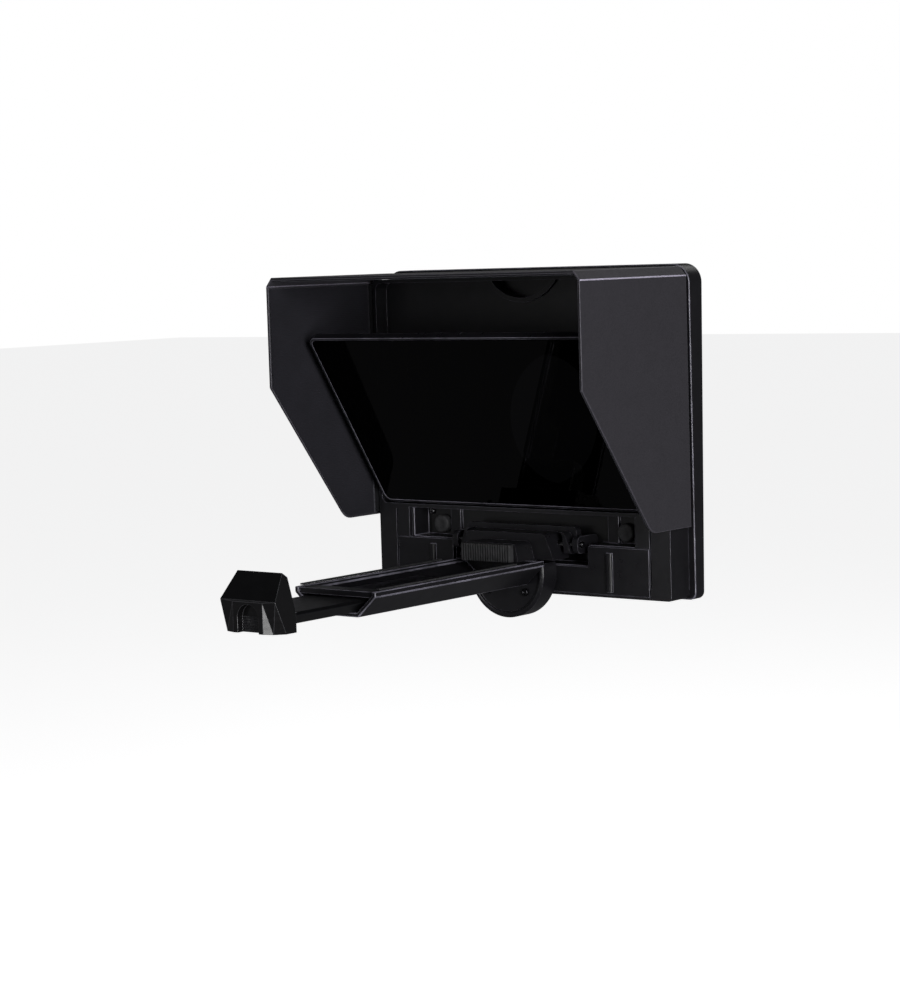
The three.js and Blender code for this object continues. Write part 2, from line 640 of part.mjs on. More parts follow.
frontFrame();
recessTray();
windowSleeve();
lowerFascia();
rearShell();
lensPort();
recessFittings();
hoodSeats();
armHub();
armChannel();
rearStop();
clampSlide();
clampBlock();
glassAssembly();
hoodTop();
hoodSides();
housing.position.set(0, -LENS_FACE, -LENS_Z);

const teleprompter = new THREE.Group();
teleprompter.add(housing);

export default teleprompter;
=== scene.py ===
# Looks for the folding tablet teleprompter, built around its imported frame.
#
# Metres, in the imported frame: +X to the right of someone reading the glass, +Y from the reader to the
# camera, +Z up, origin at the centre of the lens ring's rear face.

import json
import math

import bmesh
import bpy
from mathutils import Matrix, Vector


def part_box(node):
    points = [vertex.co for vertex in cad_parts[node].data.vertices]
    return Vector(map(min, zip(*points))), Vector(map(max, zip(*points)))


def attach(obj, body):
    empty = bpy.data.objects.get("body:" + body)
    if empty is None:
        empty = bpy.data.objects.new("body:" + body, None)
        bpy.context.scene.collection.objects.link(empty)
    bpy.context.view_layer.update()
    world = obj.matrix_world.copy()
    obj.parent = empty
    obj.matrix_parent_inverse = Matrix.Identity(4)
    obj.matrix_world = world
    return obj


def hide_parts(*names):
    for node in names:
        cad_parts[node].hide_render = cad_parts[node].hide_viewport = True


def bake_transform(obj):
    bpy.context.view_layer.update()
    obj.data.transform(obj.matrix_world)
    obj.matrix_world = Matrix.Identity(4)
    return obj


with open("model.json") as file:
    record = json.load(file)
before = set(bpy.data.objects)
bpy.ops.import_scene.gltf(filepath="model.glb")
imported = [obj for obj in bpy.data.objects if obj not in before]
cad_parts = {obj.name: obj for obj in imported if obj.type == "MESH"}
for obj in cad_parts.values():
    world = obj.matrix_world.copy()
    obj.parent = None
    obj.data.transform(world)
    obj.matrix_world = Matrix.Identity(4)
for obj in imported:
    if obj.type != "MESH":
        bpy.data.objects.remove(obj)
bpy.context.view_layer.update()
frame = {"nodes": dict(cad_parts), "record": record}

MM = 0.001
RECORD = frame["record"]
BODY_OF = {node: body for body, nodes in RECORD["behaviour"]["bodies"].items() for node in nodes}
SLOT_OF = {row["node"]: row["material_slot"] for row in RECORD["subparts"]}
SIDES = (("left", -1), ("right", 1))


# ---- camera, lights and floor ---------------------------------------------------------------------

CAMERA_PLACE = Vector((0.8887, -1.2248, 0.0946))
CAMERA_AZIMUTH = math.radians(38.53)
CAMERA_ELEVATION = math.radians(5.32)
CAMERA_ROLL = math.radians(-1.75)
CAMERA_LENS = 94.63
FLOOR_DROP = 0.42                       # floor below the lens axis
FLOOR_HALF = 12
ROOM_WALLS = 0.10                       # light from the room on the part, against 1 behind it
ROOM_CEILING = 0.03
CEILING_STARTS = 0.1                    # height of a unit direction where the walls begin to darken
CEILING_FULL = 0.55
LIGHT_TARGET = Vector((0, -0.06, 0))
SOFTBOXES = (                           # name, place, width, height, level
    ("back_softbox", Vector((0.2, 1.2, 1.15)), 0.9, 0.25, 0.11),
    ("right_softbox", Vector((1.35, -0.85, 0.1)), 0.5, 1.0, 1.25),
    ("front_softbox", Vector((-0.33, -1.85, 0.0)), 0.35, 0.8, 0.2),
    ("top_strip", Vector((-0.95, 0.45, 1.1)), 0.12, 1.2, 0.05),
)


def make_camera():
    data = bpy.data.cameras.new("camera")
    data.lens = CAMERA_LENS
    data.sensor_width = 36
    data.clip_start = 0.05
    data.clip_end = 50
    camera = bpy.data.objects.new("camera", data)
    bpy.context.scene.collection.objects.link(camera)
    camera.location = CAMERA_PLACE
    turn = Matrix.Rotation(CAMERA_AZIMUTH, 4, "Z")
    tip = Matrix.Rotation(math.pi / 2 - CAMERA_ELEVATION, 4, "X")
    roll = Matrix.Rotation(CAMERA_ROLL, 4, "Z")
    camera.rotation_euler = (turn @ tip @ roll).to_euler()
    bpy.context.scene.camera = camera


def make_light(name, place, width, height, level):
    """A softbox that lights a face turned towards it, at the target, as a white room of that level would."""
    data = bpy.data.lights.new(name, "AREA")
    data.shape = "RECTANGLE"
    data.size = width
    data.size_y = height
    aim = LIGHT_TARGET - place
    data.energy = level * math.pi ** 2 * aim.length_squared
    light = bpy.data.objects.new(name, data)
    bpy.context.scene.collection.objects.link(light)
    light.location = place
    light.rotation_euler = aim.to_track_quat("-Z", "Y").to_euler()


def make_world():
    """White behind the part, and round it a dim room with a darker ceiling."""
    world = bpy.data.worlds.new("studio")
    bpy.context.scene.world = world
    world.use_nodes = True
    tree = world.node_tree
    direction = tree.nodes.new("ShaderNodeTexCoord")
    parts = tree.nodes.new("ShaderNodeSeparateXYZ")
    level = tree.nodes.new("ShaderNodeMapRange")
    level.inputs["From Min"].default_value = CEILING_STARTS
    level.inputs["From Max"].default_value = CEILING_FULL
    level.inputs["To Min"].default_value = ROOM_WALLS
    level.inputs["To Max"].default_value = ROOM_CEILING
    room = tree.nodes["Background"]
    room.inputs["Color"].default_value = (0.95, 0.95, 1.0, 1)
    backdrop = tree.nodes.new("ShaderNodeBackground")
    path = tree.nodes.new("ShaderNodeLightPath")
    mix = tree.nodes.new("ShaderNodeMixShader")
    backdrop.inputs["Color"].default_value = (1, 1, 1, 1)
    tree.links.new(direction.outputs["Generated"], parts.inputs[0])
    tree.links.new(parts.outputs["Z"], level.inputs["Value"])
    tree.links.new(level.outputs["Result"], room.inputs["Strength"])
    tree.links.new(path.outputs["Is Camera Ray"], mix.inputs[0])
    tree.links.new(room.outputs[0], mix.inputs[1])
    tree.links.new(backdrop.outputs[0], mix.inputs[2])
    tree.links.new(mix.outputs[0], tree.nodes["World Output"].inputs["Surface"])


def make_floor():
    """A pale floor that throws no light of its own on the part."""
    mesh = bpy.data.meshes.new("floor")
    reach = (-FLOOR_HALF, FLOOR_HALF)
    mesh.from_pydata([(x, y, -FLOOR_DROP) for x in reach for y in reach], [], [(0, 2, 3, 1)])
    floor = bpy.data.objects.new("floor", mesh)
    bpy.context.scene.collection.objects.link(floor)
    paint = bpy.data.materials.new("floor_paint")
    paint.use_nodes = True
    shader = paint.node_tree.nodes["Principled BSDF"]
    shader.inputs["Base Color"].default_value = (0.9, 0.9, 0.9, 1)
    shader.inputs["Roughness"].default_value = 0.9
    shader.inputs["Specular IOR Level"].default_value = 0.0
    shader.inputs["Emission Color"].default_value = (1, 1, 1, 1)
    shader.inputs["Emission Strength"].default_value = 0.85
    mesh.materials.append(paint)
    floor.visible_diffuse = False
    floor.visible_glossy = False
    floor.visible_transmission = False


def make_studio():
    bpy.context.scene.view_settings.view_transform = "Standard"
    make_world()
    for softbox in SOFTBOXES:
        make_light(*softbox)
    make_floor()


# ---- materials ------------------------------------------------------------------------------------

class Finish:
    """A material with one Principled shader, and short calls for the nodes that feed it."""

    def __init__(self, name, **numbers):
        self.material = bpy.data.materials.new(name)
        self.material.use_nodes = True
        self.tree = self.material.node_tree
        self.shader = self.tree.nodes["Principled BSDF"]
        for key, value in numbers.items():
            self.shader.inputs[key.replace("_", " ")].default_value = value
        coordinates = self.node("ShaderNodeTexCoord")
        self.place = coordinates.outputs["Object"]

    def node(self, kind, inputs=None, **settings):
        made = self.tree.nodes.new(kind)
        for key, value in settings.items():
            setattr(made, key, value)
        for key, value in (inputs or {}).items():
            self.put(made.inputs[key], value)
        return made

    def put(self, socket, value):
        if isinstance(value, bpy.types.NodeSocket):
            self.tree.links.new(value, socket)
        else:
            socket.default_value = value

    def noise(self, pitch, detail=2.0, rough=0.5, stretch=(1, 1, 1)):
        """Noise whose blobs are about pitch metres across, from 0 to 1."""
        scaled = self.node("ShaderNodeMapping", {"Vector": self.place, "Scale": stretch})
        texture = self.node("ShaderNodeTexNoise", {
            "Vector": scaled.outputs["Vector"],
            "Scale": 1 / pitch,
            "Detail": detail,
            "Roughness": rough,
        })
        return texture.outputs["Fac"]

    def spread(self, value, low, high, start=0.0, end=1.0):
        """value, from start to end, mapped to low to high."""
        mapped = self.node("ShaderNodeMapRange", {
            "Value": value,
            "From Min": start,
            "From Max": end,
            "To Min": low,
            "To Max": high,
        })
        return mapped.outputs["Result"]

    def math(self, operation, a, b=0.0):
        made = self.node("ShaderNodeMath", operation=operation)
        self.put(made.inputs[0], a)
        self.put(made.inputs[1], b)
        return made.outputs[0]

    def blend(self, a, b, share):
        """a and b added, with b's share from 0 to 1."""
        return self.math("ADD", self.math("MULTIPLY", a, 1 - share), self.math("MULTIPLY", b, share))

    def tint(self, value, dark, light):
        """A colour from dark to light as value goes from 0 to 1."""
        made = self.node("ShaderNodeValToRGB", {"Fac": value})
        made.color_ramp.elements[0].color = (*dark, 1)
        made.color_ramp.elements[1].color = (*light, 1)
        self.put(self.shader.inputs["Base Color"], made.outputs["Color"])

    def rough(self, value):
        self.put(self.shader.inputs["Roughness"], value)

    def bump(self, *layers):
        """Layers are (height from 0 to 1, depth in metres), from the coarsest to the finest."""
        normal = None
        for height, depth in layers:
            made = self.node("ShaderNodeBump", {"Height": height, "Distance": depth, "Strength": 1.0})
            if normal is not None:
                self.put(made.inputs["Normal"], normal)
            normal = made.outputs["Normal"]
        self.put(self.shader.inputs["Normal"], normal)


def lighter(colour, factor):
    return tuple(channel * factor for channel in colour)


def moulded_plastic(name, colour, roughness, grain, depth, wear_and_highlight=1.0):
    """The last number is how much lighter the lightest places are than the rest; above 1 it gives the rounded
    edges' lighter copy, rubbed wear and painted highlight together.
    """
    finish = Finish(name, Specular_IOR_Level=0.3)
    tone = finish.blend(finish.noise(14 * MM, 3), finish.noise(4 * MM, 3), 0.4)
    finish.tint(finish.spread(tone, 0, 1, 0.3, 0.7), lighter(colour, 0.8), lighter(colour, 1.25 * wear_and_highlight))
    finish.rough(finish.spread(finish.noise(6 * MM, 4), roughness - 0.05, roughness + 0.08))
    finish.bump((finish.noise(grain, 3, 0.6), depth))
    return finish.material


def gloss_plastic(name, wear_and_highlight=1.0):
    finish = Finish(name, Specular_IOR_Level=0.45, Coat_Weight=0.2, Coat_Roughness=0.05)
    smears = finish.noise(9 * MM, 4, 0.6, (1, 1, 2.5))
    # A last number above 1 lightens the light end: the rounded edges' copy, rubbed wear and painted highlight
    # together.
    finish.tint(smears, (0.0025, 0.0025, 0.0027), lighter((0.0034, 0.0034, 0.0037), wear_and_highlight))
    finish.rough(finish.spread(smears, 0.14, 0.26, 0.3, 0.7))
    finish.bump((finish.noise(4 * MM, 1), 0.012 * MM))
    return finish.material


def leatherette(name, colour, roughness=0.6):
    """Coated cloth: pebbles under a millimetre across, with a fine matt tooth between them."""
    finish = Finish(name, Specular_IOR_Level=0.3, Sheen_Weight=0.05, Sheen_Roughness=0.5)
    warp = finish.noise(2.2 * MM, 2)
    shifted = finish.node("ShaderNodeVectorMath", operation="MULTIPLY_ADD")
    finish.put(shifted.inputs[0], warp)
    finish.put(shifted.inputs[1], (0.0006, 0.0006, 0.0006))
    finish.put(shifted.inputs[2], finish.place)
    pebbles = finish.node("ShaderNodeTexVoronoi", {
        "Vector": shifted.outputs["Vector"],
        "Scale": 1 / (0.85 * MM),
    }, feature="DISTANCE_TO_EDGE").outputs["Distance"]
    creases = finish.spread(pebbles, 0, 1, 0.0, 0.22)
    tone = finish.blend(creases, finish.noise(11 * MM, 3), 0.35)
    finish.tint(tone, lighter(colour, 0.7), lighter(colour, 1.25))
    finish.rough(finish.spread(finish.noise(7 * MM, 3), roughness - 0.05, roughness + 0.1))
    finish.bump((creases, 0.05 * MM), (finish.noise(0.25 * MM, 2), 0.012 * MM))
    return finish.material


def lining_cloth(name, colour):
    """Matt cloth: threads and flecks of lighter fibre, over ribs that the mesh has."""
    finish = Finish(name, Specular_IOR_Level=0.15, Sheen_Weight=0.12, Sheen_Roughness=0.5)
    finish.shader.inputs["Sheen Tint"].default_value = (0.85, 0.88, 1.0, 1)
    threads = finish.noise(0.3 * MM, 3, 0.65)
    tone = finish.blend(threads, finish.noise(18 * MM, 3), 0.3)
    finish.tint(finish.spread(tone, 0, 1, 0.3, 0.7), lighter(colour, 0.55), lighter(colour, 1.5))
    finish.rough(finish.spread(threads, 0.85, 1.0))
    finish.bump((threads, 0.06 * MM))
    return finish.material


def dark_metal(name, colour, roughness, turned):
    finish = Finish(name, Metallic=1.0)
    if turned:
        lines = finish.node("ShaderNodeTexWave", {
            "Vector": finish.place,
            "Scale": 1 / (1.6 * MM),
            "Distortion": 0.4,
        }, wave_type="RINGS", rings_direction="Y").outputs["Fac"]
    else:
        lines = finish.noise(0.25 * MM, 3, 0.6, (1, 0.05, 1))
    finish.tint(finish.noise(8 * MM, 3), lighter(colour, 0.85), lighter(colour, 1.2))
    finish.rough(finish.spread(finish.noise(5 * MM, 3), roughness - 0.06, roughness + 0.08))
    finish.bump((lines, 0.008 * MM), (finish.noise(0.18 * MM, 2), 0.006 * MM))
    return finish.material


def soft_rubber():
    finish = Finish("soft_rubber", Specular_IOR_Level=0.3)
    dust = finish.noise(3 * MM, 4, 0.65)
    finish.tint(finish.spread(dust, 0, 1, 0.35, 0.8), (0.012, 0.012, 0.0128), (0.034, 0.034, 0.0365))
    finish.rough(finish.spread(dust, 0.6, 0.8))
    finish.bump((finish.noise(0.35 * MM, 3), 0.03 * MM))
    return finish.material


def beam_splitter():
    """Half-mirror coating on thin glass: very dark from the reader's side, with a faint film."""
    finish = Finish("beam_splitter", Transmission_Weight=1.0, IOR=1.22, Specular_IOR_Level=0.5)
    finish.tint(finish.noise(40 * MM, 2), (0.0085, 0.0088, 0.0095), (0.0115, 0.0118, 0.0125))
    finish.rough(finish.spread(finish.noise(16 * MM, 4), 0.0, 0.02))
    return finish.material


HOUSING = (0.0056, 0.0054, 0.0066)
FASCIA = (0.0058, 0.0056, 0.0068)
COVER = (0.0195, 0.0182, 0.0228)
LINING = (0.0078, 0.0073, 0.0100)
FELT = (0.003, 0.003, 0.0035)
ANODISED = (0.02, 0.02, 0.022)
STEEL = (0.08, 0.08, 0.084)
HOUSING_GRAIN = 0.32 * MM
FASCIA_GRAIN = 0.28 * MM

FINISHES = {}
EDGE_WEAR_AND_HIGHLIGHT = {}                              # the same finishes, lighter and glossier, on the rounded edges: rubbed wear and painted highlight


def make_finishes():
    # A darker copy of the housing colour for the deep wells of the recess: painted shade.
    recess = lighter(HOUSING, 0.4)
    FINISHES.update({
        "housing_plastic": moulded_plastic("housing_black", HOUSING, 0.34, HOUSING_GRAIN, 0.016 * MM),
        "fascia_plastic": moulded_plastic("fascia_black", FASCIA, 0.28, FASCIA_GRAIN, 0.010 * MM),
        "hood_board": leatherette("leatherette", COVER),
        "recess_painted_shade": moulded_plastic("recess_black_painted_shade", recess, 0.5, HOUSING_GRAIN, 0.016 * MM),
        # Leatherette seventeen times lighter for the crease strips: a painted highlight along the fold.
        "creased_board": leatherette("leatherette_painted_highlight", lighter(COVER, 17)),
        "hood_lining": lining_cloth("lining_cloth", LINING),
        "felt": lining_cloth("felt_black", FELT),
        "clamp_gloss": gloss_plastic("polished_black"),
        "ring_metal": dark_metal("anodised_turned", ANODISED, 0.3, True),
        "plate_metal": dark_metal("anodised_plain", ANODISED, 0.36, False),
        "screw_steel": dark_metal("plated_steel", STEEL, 0.26, False),
        "soft_rubber": soft_rubber(),
        "beam_splitter": beam_splitter(),
    })
    # Colours many times lighter for the rounded edges' copies: rubbed wear and painted highlight together.
    housing, fascia, cover, anodised = (
        lighter(HOUSING, 8), lighter(FASCIA, 7), lighter(COVER, 2.2), lighter(ANODISED, 3),
    )
    EDGE_WEAR_AND_HIGHLIGHT.update({
        "housing_plastic": moulded_plastic("housing_worn_edge_highlight", housing, 0.2, HOUSING_GRAIN, 0.006 * MM, 3),
        "fascia_plastic": moulded_plastic("fascia_worn_edge_highlight", fascia, 0.2, FASCIA_GRAIN, 0.005 * MM, 3),
        "hood_board": leatherette("leatherette_worn_edge_highlight", cover, 0.4),
        "clamp_gloss": gloss_plastic("polished_worn_edge_highlight", 14),
        "ring_metal": dark_metal("anodised_worn_edge_highlight", anodised, 0.26, True),
        "plate_metal": dark_metal("anodised_plain_worn_edge_highlight", anodised, 0.3, False),
    })


# ---- mesh helpers ---------------------------------------------------------------------------------

FRONT_FACING = 0.7                      # least share of a face's normal that points to the front


def row(x, y, z):
    """A point given in millimetres from the middle of the front frame's lower front edge."""
    return Vector((x * MM, (y - 47) * MM, (z - 96) * MM))


def settle(name, mesh, nodes, finish=None, bevel=None, crisp=28, rides=True):
    """Makes a piece from a bmesh: it stands for the CAD nodes, rides on their body and takes their slot.
    bevel is (width, segments) for edges sharper than crisp degrees."""
    nodes = [nodes] if isinstance(nodes, str) else nodes
    data = bpy.data.meshes.new(name)
    bmesh.ops.recalc_face_normals(mesh, faces=mesh.faces)
    mesh.to_mesh(data)
    mesh.free()
    for face in data.polygons:
        face.use_smooth = True
    piece = bpy.data.objects.new(name, data)
    bpy.context.scene.collection.objects.link(piece)
    if bevel:
        width, segments = bevel
        rounding = piece.modifiers.new("rounding", "BEVEL")
        rounding.width = width
        rounding.segments = segments
        rounding.limit_method = "ANGLE"
        rounding.angle_limit = math.radians(crisp)
        rounding.miter_outer = "MITER_ARC"
        rounding.use_clamp_overlap = True
    shading = piece.modifiers.new("shading", "WEIGHTED_NORMAL")
    shading.keep_sharp = True
    slot = SLOT_OF[nodes[0]]
    data.materials.append(FINISHES[finish or slot])
    # Bevel faces take the lighter edge copy of the finish: rubbed wear and painted highlight.
    if bevel and (finish or slot) in EDGE_WEAR_AND_HIGHLIGHT:
        data.materials.append(EDGE_WEAR_AND_HIGHLIGHT[finish or slot])
        rounding.material = 1
    if rides:
        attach(piece, BODY_OF[nodes[0]])
    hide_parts(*nodes)
    return piece


def refined(node, suffix, width, segments=3, finish=None, crisp=28):
    """The CAD node's own shape, welded, with its edges rounded. Its flat faces are merged on each side of the
    middle plane, so that none of them runs round the window or a bore."""
    mesh = bmesh.new()
    mesh.from_mesh(frame["nodes"][node].data)
    bmesh.ops.remove_doubles(mesh, verts=mesh.verts, dist=0.004 * MM)
    cut = bmesh.ops.bisect_plane(
        mesh, geom=mesh.verts[:] + mesh.edges[:] + mesh.faces[:], dist=0.002 * MM, plane_no=(1, 0, 0),
    )
    for item in cut["geom_cut"]:
        if isinstance(item, bmesh.types.BMEdge):
            item.seam = True
    bmesh.ops.dissolve_limit(
        mesh, angle_limit=math.radians(0.5), verts=mesh.verts, edges=mesh.edges, delimit={"SEAM"},
    )
    return settle(f"{node}_{suffix}", mesh, node, finish, (width, segments), crisp)


def paint(piece, finish, behind=-math.inf):
    """Gives the faces that look to the front, further back than behind, a finish of their own; here a darker
    one, as painted shade.
    """
    piece.data.materials.append(FINISHES[finish])
    last = len(piece.data.materials) - 1
    for face in piece.data.polygons:
        if face.normal.y < -FRONT_FACING and face.center.y > behind:
            face.material_index = last


def skin(mesh, loops, closed_ends=True):
    """Joins closed loops of equal length with quads, and caps the first and last."""
    rings = [[mesh.verts.new(point) for point in loop] for loop in loops]
    count = len(rings[0])
    for near, far in zip(rings, rings[1:]):
        for index in range(count):
            after = (index + 1) % count
            mesh.faces.new((near[index], near[after], far[after], far[index]))
    if closed_ends:
        mesh.faces.new(list(reversed(rings[0])))
        mesh.faces.new(rings[-1])
    return rings


def in_metres(profile):
    """The rows of a profile for turned(), from millimetres to metres."""
    def scaled(radius):
        return (lambda angle: radius(angle) * MM) if callable(radius) else radius * MM
    return [(scaled(radius), height * MM) for radius, height in profile]


def turned(profile, segments, place, axis):
    """Loops for a shape turned about axis through place. Profile rows are (radius, height), and a radius may
    be a function of the angle."""
    mesh = bmesh.new()
    across = Vector(axis).to_track_quat("Z", "Y").to_matrix()
    loops = []
    for radius, height in profile:
        loop = []
        for index in range(segments):
            angle = 2 * math.pi * index / segments
            reach = radius(angle) if callable(radius) else radius
            loop.append(place + across @ Vector((reach * math.cos(angle), reach * math.sin(angle), height)))
        loops.append(loop)
    return mesh, loops


def turned_solid(profile, segments, place, axis):
    mesh, loops = turned(profile, segments, place, axis)
    skin(mesh, loops)
    return mesh


def turned_ring(profile, segments, place, axis):
    """As turned_solid, but the profile is a closed outline round a bore."""
    mesh, loops = turned(profile + profile[:1], segments, place, axis)
    skin(mesh, loops, closed_ends=False)
    bmesh.ops.remove_doubles(mesh, verts=mesh.verts, dist=0.001 * MM)
    return mesh


def hexagon(radius):
    """The radius of a six-sided socket at each angle."""
    return lambda angle: radius * math.cos(math.pi / 6) / math.cos((angle % (math.pi / 3)) - math.pi / 6)


def fluted(radius, depth, count):
    """The radius of a grip with rounded flutes at each angle."""
    return lambda angle: radius - depth * (0.5 + 0.5 * math.cos(count * angle)) ** 2


def screw_head(node, axis):
    """A domed head with a six-sided socket, in the box of a plain CAD disc."""
    low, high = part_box(node)
    axis = Vector(axis)
    reach = max((high - low)[i] for i in range(3) if abs(axis[i]) < 0.5) / 2
    tall = abs((high - low).dot(axis))
    place = (low + high) / 2 - axis * tall / 2
    socket = reach * 0.52
    profile = [
        (reach * 0.9, 0), (reach, 0.12 * tall), (reach, 0.6 * tall), (reach * 0.94, 0.84 * tall),
        (reach * 0.82, 0.97 * tall), (reach * 0.7, tall), (hexagon(socket * 1.12), tall),
        (hexagon(socket), 0.93 * tall), (hexagon(socket), 0.35 * tall), (hexagon(socket * 0.4), 0.28 * tall),
    ]
    settle(f"{node}_head", turned_solid(profile, 48, place, axis), node)


# ---- housing --------------------------------------------------------------------------------------

LENS_AXIS = (0, 1, 0)
LENS_POINT = row(0, 0, 96)
KNOB_LEAN = math.radians(50)            # lock knob's axis above the level, round the lens axis


def lens_ring():
    """Threaded ring with a fluted flange for turning it and fine thread ridges in its bore."""
    low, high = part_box("lens_ring")
    back = (high.y - LENS_POINT.y) / MM
    front = (low.y - LENS_POINT.y) / MM
    flange = 48
    outside = [
        (39.2, front), (43.4, front), (44, front + 0.6), (44, back - 4.7), (flange - 0.9, back - 4.7),
        (fluted(flange, 0.55, 48), back - 4.2), (fluted(flange, 0.55, 48), back - 0.9),
        (flange - 0.8, back - 0.3), (flange - 1.6, back), (39.3, back),
    ]
    thread = []
    turns = 14
    for index in range(turns):
        y = back - 0.7 - index * (back - front - 1.4) / (turns - 1)
        thread += [(38.5, y), (38.95, y - 0.42)]
    mesh = turned_ring(in_metres(outside + thread), 192, LENS_POINT, LENS_AXIS)
    settle("lens_ring_turning", mesh, "lens_ring", bevel=(0.12 * MM, 2))


def lock_knob():
    """Thumb screw with a scalloped grip, a dished cap and a plain stem."""
    axis = Vector((math.cos(KNOB_LEAN), 0, math.sin(KNOB_LEAN)))
    place = row(0, 37, 96)
    grip = fluted(6.5, 0.7, 12)
    profile = [
        (2.0, 44.6), (2.2, 44.9), (2.2, 54), (5.2, 54), (5.6, 54.3),
        (grip, 55.2), (grip, 62.6), (5.7, 63.6), (5.1, 64), (4.2, 64), (3.6, 63.4), (1.2, 63.2),
    ]
    mesh = turned_solid(in_metres(profile), 96, place, axis)
    settle("lock_knob_grip", mesh, "lock_knob", bevel=(0.15 * MM, 2))


def arm_hub():
    """Round boss under the frame: a raised rim round a dished face with a centre ring."""
    low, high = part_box("arm_hub")
    centre = row(0, 0, 13)
    front = (low.y - centre.y) / MM
    back = (high.y - centre.y) / MM
    profile = [
        (26, back), (26, front + 1.0), (25.2, front + 0.2), (24.6, front), (23.8, front), (23.1, front + 0.3),
        (22.7, front + 1.1), (22.2, front + 1.3), (9.4, front + 1.3), (9.0, front + 0.9), (8.0, front + 0.8),
        (7.4, front + 1.1), (1.2, front + 1.2),
    ]
    forward = [(radius, -y) for radius, y in profile]
    mesh = turned_solid(in_metres(forward), 128, centre, (0, -1, 0))
    bmesh.ops.bisect_plane(
        mesh, geom=mesh.verts[:] + mesh.edges[:] + mesh.faces[:],
        plane_co=(0, 0, high.z), plane_no=(0, 0, 1), clear_outer=True,
    )
    bmesh.ops.holes_fill(mesh, edges=[edge for edge in mesh.edges if edge.is_boundary], sides=0)
    settle("arm_hub_moulding", mesh, "arm_hub", bevel=(0.3 * MM, 3))


def catch_post(side):
    """Rubber bumper: a drum with a rolled edge and a shallow dimple."""
    node = f"catch_post_{side}"
    low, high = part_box(node)
    place = (low + high) / 2
    place.y = high.y
    tall = high.y - low.y
    reach = (high.x - low.x) / 2
    profile = [
        (reach * 0.97, 0), (reach, tall * 0.1), (reach, tall * 0.72), (reach * 0.965, tall * 0.86),
        (reach * 0.89, tall * 0.96), (reach * 0.8, tall), (reach * 0.5, tall), (reach * 0.44, tall * 0.97),
        (reach * 0.15, tall * 0.955),
    ]
    settle(f"{node}_bumper", turned_solid(profile, 64, place, (0, -1, 0)), node)


def magnet(node):
    """Plated disc with broken edges and a fine centre dimple."""
    low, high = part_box(node)
    outward = Vector((1 if low.x > 0 else -1, 0, 0))
    place = (low + high) / 2 - outward * (high.x - low.x) / 2
    tall = high.x - low.x
    reach = (high.z - low.z) / 2
    profile = [
        (reach * 0.94, 0), (reach, tall * 0.12), (reach, tall * 0.84), (reach * 0.93, tall),
        (reach * 0.24, tall), (reach * 0.2, tall * 0.9), (reach * 0.05, tall * 0.86),
    ]
    settle(f"{node}_disc", turned_solid(profile, 48, place, outward), node)


def pin(node, middle):
    """Rod along X with domed ends and a turned groove at middle, as a share of its length."""
    low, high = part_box(node)
    length = high.x - low.x
    reach = (high.z - low.z) / 2
    place = Vector((low.x, (low.y + high.y) / 2, (low.z + high.z) / 2))
    profile = [
        (reach * 0.6, 0), (reach * 0.9, reach * 0.15), (reach, reach * 0.4),
        (reach, length * middle - reach * 0.3), (reach * 0.86, length * middle - reach * 0.15),
        (reach * 0.86, length * middle + reach * 0.15), (reach, length * middle + reach * 0.3),
        (reach, length - reach * 0.4), (reach * 0.9, length - reach * 0.15), (reach * 0.6, length),
    ]
    settle(f"{node}_rod", turned_solid(profile, 40, place, (1, 0, 0)), node)


def make_housing():
    refined("front_frame", "moulding", 0.5 * MM)
    # Front-facing tray faces deeper than 14.4 mm take the darker finish: painted shade in the wells round the
    # posts.
    paint(refined("recess_tray", "moulding", 0.4 * MM), "recess_painted_shade", row(0, 14.4, 0).y)
    refined("window_sleeve", "moulding", 0.3 * MM)
    refined("lower_fascia", "moulding", 0.4 * MM)
    refined("rear_shell", "moulding", 0.6 * MM, 4)
    refined("port_collar", "moulding", 0.5 * MM)
    refined("light_seal", "felt", 0.5 * MM, 4, finish="felt")
    lens_ring()
    lock_knob()
    arm_hub()
    for side, _ in SIDES:
        catch_post(side)
        screw_head(f"recess_screw_{side}", (0, -1, 0))
        screw_head(f"hub_screw_{side}", (0, -1, 0))
        refined(f"arm_ear_{side}", "plate", 0.4 * MM)
        refined(f"side_felt_{side}", "strip", 0.5 * MM, 4, finish="felt")
        for level in ("lower", "upper"):
            screw_head(f"shell_screw_{level}_{side}", (0, 1, 0))
            magnet(f"hood_magnet_{level}_{side}")


# ---- arm, clamp and glass -------------------------------------------------------------------------

def make_arm():
    refined("arm_channel", "moulding", 0.6 * MM)
    refined("slide_retainer", "moulding", 0.3 * MM)
    refined("rear_stop", "moulding", 0.45 * MM)
    refined("rear_stop_pad", "moulding", 0.15 * MM, 2)
    pin("arm_pin", 0.03)
    for side, _ in SIDES:
        refined(f"tablet_pad_{side}", "strip", 0.3 * MM)


def make_clamp():
    refined("clamp_slide", "bar", 0.3 * MM, finish="plate_metal")
    refined("clamp_block", "moulding", 0.45 * MM, 4, crisp=13)
    refined("clamp_pad", "moulding", 0.3 * MM)


def make_glass():
    refined("glass_frame", "moulding", 0.3 * MM)
    refined("beam_glass", "pane", 0.15 * MM, 2)
    for side, _ in SIDES:
        pin(f"glass_pin_{side}", 0.5)


# ---- hood -----------------------------------------------------------------------------------------

RIB_PITCH = 1.05 * MM                   # the lining's level ribs
RIB_DEPTH = 0.18 * MM
RIB_STEPS = 4
CLOTH = 0.27 * MM                       # thickness of the lining between its ribs
LINING_COLUMNS = 36
EDGE_ROLL = 0.45 * MM                   # radius of the boards' wrapped edges
SEAL_CLEAR = 0.15 * MM                  # gap between the top seal and the front frame
SEAL_INSET = 0.8 * MM


def make_hood():
    hood_cover()
    for side, sign in SIDES:
        # The board's front-facing edge faces take the near-black felt finish: painted shade.
        paint(refined(f"hood_side_{side}", "board", EDGE_ROLL, 4), "felt")
        crease_strip(side, sign)
        side_lining(side, sign)
    top_lining()
    top_seal()


